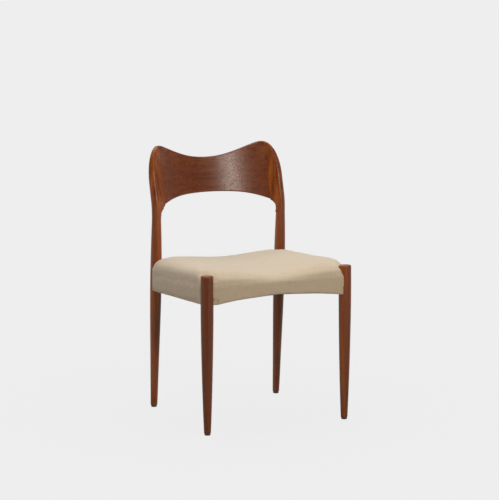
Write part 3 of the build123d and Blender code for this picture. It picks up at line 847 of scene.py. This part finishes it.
# Depth of the open pores in solid teak, in veneer and in beech.
SOLID_PORES = 0.5
VENEER_PORES = 0.6
BEECH_PORES = 0.2
# Gloss of the oiled pieces: the back is handled most and has the most.
LEG_LEFT_GLOSS = 0.27
LEG_RIGHT_GLOSS = 0.28
STILE_GLOSS = 0.32
VENEER_GLOSS = 0.6
BEECH_GLOSS = 0.3
# Where each piece's grain starts, so that no two show the same figure.
PLANK_LEG_LEFT = (0.3, 0.1, 0.0)
PLANK_LEG_RIGHT = (0.9, 0.6, 0.2)
PLANK_STILE_LEFT = (1.31, 0.4, 0.1)
PLANK_STILE_RIGHT = (2.3, 1.1, 0.4)
PLANK = (0.0, 0.0, 0.0)
# Cloth, metal, plastic and foam: each a colour, and a second one for its mottle.
WOOL = (0.68, 0.54, 0.385, 1.0)
DUST_BLACK = (0.022, 0.021, 0.020, 1.0)
JUTE = (0.32, 0.26, 0.18, 1.0)
ZINC = ((0.55, 0.56, 0.57, 1.0), (0.40, 0.41, 0.42, 1.0))
GLIDE = ((0.030, 0.024, 0.020, 1.0), (0.050, 0.040, 0.034, 1.0))
FOAM = ((0.78, 0.72, 0.55, 1.0), (0.70, 0.62, 0.45, 1.0))


def finishes():
    """Gives each CAD node its finish, and gives back the steel for the staples."""
    solid = SOLID_PORES
    wood = {
        # The left front leg's and right stile's darker tones are partly painted shade, and the left stile's
        # paler tone is partly painted light.
        "front_leg_left": teak(
            "teak front leg left", LEG_PALE_TONE_AND_SHADE, LEG_DARK_TONE_AND_SHADE, UP, solid, PLANK_LEG_LEFT, LEG_LEFT_GLOSS, LEG_TOP_PAINTED_HIGHLIGHT
        ),
        "front_leg_right": teak(
            "teak front leg right", TEAK_PALE, TEAK_DARK, UP, solid, PLANK_LEG_RIGHT, LEG_RIGHT_GLOSS, LEG_TOP_PAINTED_HIGHLIGHT
        ),
        "rear_stile_left": teak(
            "teak stile left", STILE_PALE_TONE_AND_LIGHT, STILE_DARK_TONE_AND_LIGHT, UP, solid, PLANK_STILE_LEFT, STILE_GLOSS
        ),
        "rear_stile_right": teak(
            "teak stile right", TEAK_PALE, LEG_DARK_TONE_AND_SHADE, UP, solid, PLANK_STILE_RIGHT, STILE_GLOSS
        ),
        "back_panel": teak(
            "teak veneer", VENEER_PALE, VENEER_DARK, ACROSS, VENEER_PORES, PLANK, VENEER_GLOSS
        ),
    }
    beech = teak("beech", BEECH_PALE, BEECH_DARK, ACROSS, BEECH_PORES, PLANK, BEECH_GLOSS)
    webbing = woven("webbing", JUTE, threads=700.0, fleck=0.5, rough=0.9, sheen=0.0, on_map=False)
    steel = speckled("zinc steel", *ZINC, size=900.0, rough=0.35, metal=1.0)
    glide = speckled("glide plastic", *GLIDE, size=500.0, rough=0.5)
    foam = speckled("foam", *FOAM, size=700.0, rough=0.9)
    plain = {
        "block_screws": steel, "webbing_long": webbing, "webbing_cross": webbing,
        "seat_foam": foam, "seat_cover": foam, "dust_cover": webbing,
    }
    for name, piece in frame["nodes"].items():
        finish = wood.get(name) or plain.get(name) or (glide if name.startswith("glide") else beech)
        piece.data.materials.clear()
        piece.data.materials.append(finish)
    return steel


steel = finishes()

seat = seat_upholstery()
wool = woven("beige wool", WOOL, threads=520.0, fleck=0.30, rough=0.92, sheen=0.45, on_map=True)
seat.data.materials.append(wool)
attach(seat, "root")
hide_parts("seat_cover", "seat_foam")

dust = dust_cloth()
cambric = woven("black dust cloth", DUST_BLACK, threads=900.0, fleck=0.6, rough=0.95, sheen=0.0, on_map=False)
dust.data.materials.append(cambric)
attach(dust, "root")
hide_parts("dust_cover")

staples = dust_staples()
staples.data.materials.append(steel)
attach(staples, "root")


# Studio: a pale backdrop that dims overhead, a weak even room light, and a floor that fades into it.
BACKDROP = (0.855, 0.855, 0.855, 1.0)
ROOM_LIGHT = (1.0, 0.97, 0.92, 1.0)
ROOM_LEVEL = 0.10
ROOM_DIM = (0.03, 0.03, 0.03, 1.0)
ROOM_DIMS = (0.12, 0.20)
FLOOR_MATT = (0.22, 0.21, 0.20, 1.0)
FLOOR_NEAR = (0.915, 0.915, 0.915, 1.0)
FLOOR_SHARE = 0.90
FLOOR_FADES = (0.3, 1.6)
FLOOR_SIZE = 40.0
# Lights: place, aim, size, power and colour. The fills stay out of reflections.
WARM = (1.0, 0.95, 0.87)
COOL = (0.94, 0.98, 1.0)
FILL_TONE = (1.0, 0.96, 0.92)
FILL_AIM = (0.0, 0.0, 0.45)
FILL_SIZE = (1.6, 1.6)
SOFT_BOXES = {
    "front soft box": ((0.21, -2.10, 1.53), (0.0, 0.17, 0.69), (0.52, 0.80), 16.5, WARM),
    "low front strip": ((0.30, -2.20, 0.30), (0.0, -0.10, 0.30), (0.40, 0.55), 2.2, WARM),
    "overhead soft box": ((0.2, 0.45, 2.8), (0.0, 0.0, 0.4), (2.8, 2.8), 63.0, COOL),
}
FILLS = {
    "left fill": ((-2.3, -0.3, 1.0), FILL_AIM, FILL_SIZE, 13.0, FILL_TONE),
    "right fill": ((2.4, -0.3, 0.9), FILL_AIM, FILL_SIZE, 11.0, FILL_TONE),
}
# Camera: solved from the feet and the leg tops.
CAMERA_PLACE = (-2.6520, -5.2447, 1.3582)
CAMERA_AIM = (0.01353, -0.0275, 0.49176)
CAMERA_LENS = 144.0
CAMERA_SENSOR = 36.0
CAMERA_SEES = 100.0


def seen_directly(tree):
    """1 for rays that show the background: from the camera, off gloss or through glass."""
    path = node(tree, "LightPath")
    glossy = maths(tree, "MAXIMUM", path.outputs["Is Camera Ray"], path.outputs["Is Glossy Ray"])
    return maths(tree, "MAXIMUM", glossy, path.outputs["Is Transmission Ray"])


def studio_floor():
    """A wide pale floor that keeps a faint shadow."""
    bpy.ops.object.select_all(action="DESELECT")
    bpy.ops.mesh.primitive_grid_add(x_subdivisions=4, y_subdivisions=4, size=FLOOR_SIZE, location=(0, 0, 0))
    floor = start_piece("studio_floor")
    made = bpy.data.materials.new("studio floor")
    made.use_nodes = True
    tree = made.node_tree
    tree.nodes.clear()
    matt = node(tree, "BsdfDiffuse", values={"Color": FLOOR_MATT})
    glow = node(tree, "Emission", values={"Strength": 1.0})
    mixed = node(tree, "MixShader")
    away = node(tree, "VectorMath", operation="LENGTH")
    tree.links.new(node(tree, "TexCoord").outputs["Object"], away.inputs[0])
    far = spread(tree, away.outputs["Value"], *FLOOR_FADES)
    tree.links.new(blend_colours(tree, far, FLOOR_NEAR, BACKDROP), glow.inputs["Color"])
    share = maths(tree, "MULTIPLY", seen_directly(tree), spread(tree, far, 0.0, 1.0, FLOOR_SHARE, 1.0))
    tree.links.new(share, mixed.inputs[0])
    tree.links.new(matt.outputs[0], mixed.inputs[1])
    tree.links.new(glow.outputs[0], mixed.inputs[2])
    out = node(tree, "OutputMaterial")
    tree.links.new(mixed.outputs[0], out.inputs["Surface"])
    floor.data.materials.append(made)


def studio_world():
    """A pale backdrop all round that dims overhead, and a weaker even light."""
    world = bpy.data.worlds.new("studio")
    bpy.context.scene.world = world
    world.use_nodes = True
    tree = world.node_tree
    tree.nodes.clear()
    light = node(tree, "Background", values={"Color": ROOM_LIGHT, "Strength": ROOM_LEVEL})
    shown = node(tree, "Background", values={"Strength": 1.0})
    parts = node(tree, "SeparateXYZ")
    tree.links.new(node(tree, "TexCoord").outputs["Generated"], parts.inputs[0])
    overhead = spread(tree, parts.outputs["Z"], *ROOM_DIMS)
    tree.links.new(blend_colours(tree, overhead, BACKDROP, ROOM_DIM), shown.inputs["Color"])
    mixed = node(tree, "MixShader")
    tree.links.new(seen_directly(tree), mixed.inputs[0])
    tree.links.new(light.outputs[0], mixed.inputs[1])
    tree.links.new(shown.outputs[0], mixed.inputs[2])
    out = node(tree, "OutputWorld")
    tree.links.new(mixed.outputs[0], out.inputs["Surface"])


def facing(place, aim):
    """How a lamp or camera is turned to look from its place to its aim."""
    return (Vector(aim) - Vector(place)).to_track_quat("-Z", "Y").to_euler()


def soft_box(name, place, aim, size, power, colour):
    """A rectangular soft light turned to its aim."""
    lamp = bpy.data.lights.new(name, "AREA")
    lamp.shape = "RECTANGLE"
    lamp.size, lamp.size_y = size
    lamp.energy = power
    lamp.color = colour
    holder = bpy.data.objects.new(name, lamp)
    bpy.context.scene.collection.objects.link(holder)
    holder.location = place
    holder.rotation_euler = facing(place, aim)
    holder.visible_camera = False
    return holder


def camera():
    """The photograph's point of view."""
    lens = bpy.data.cameras.new("camera")
    lens.lens = CAMERA_LENS
    lens.sensor_width = CAMERA_SENSOR
    lens.clip_end = CAMERA_SEES
    holder = bpy.data.objects.new("camera", lens)
    bpy.context.scene.collection.objects.link(holder)
    holder.location = CAMERA_PLACE
    holder.rotation_euler = facing(CAMERA_PLACE, CAMERA_AIM)
    bpy.context.scene.camera = holder


studio_floor()
studio_world()
for name, settings in SOFT_BOXES.items():
    soft_box(name, *settings)
for name, settings in FILLS.items():
    soft_box(name, *settings).visible_glossy = False
camera()
bpy.context.scene.view_settings.view_transform = "Standard"
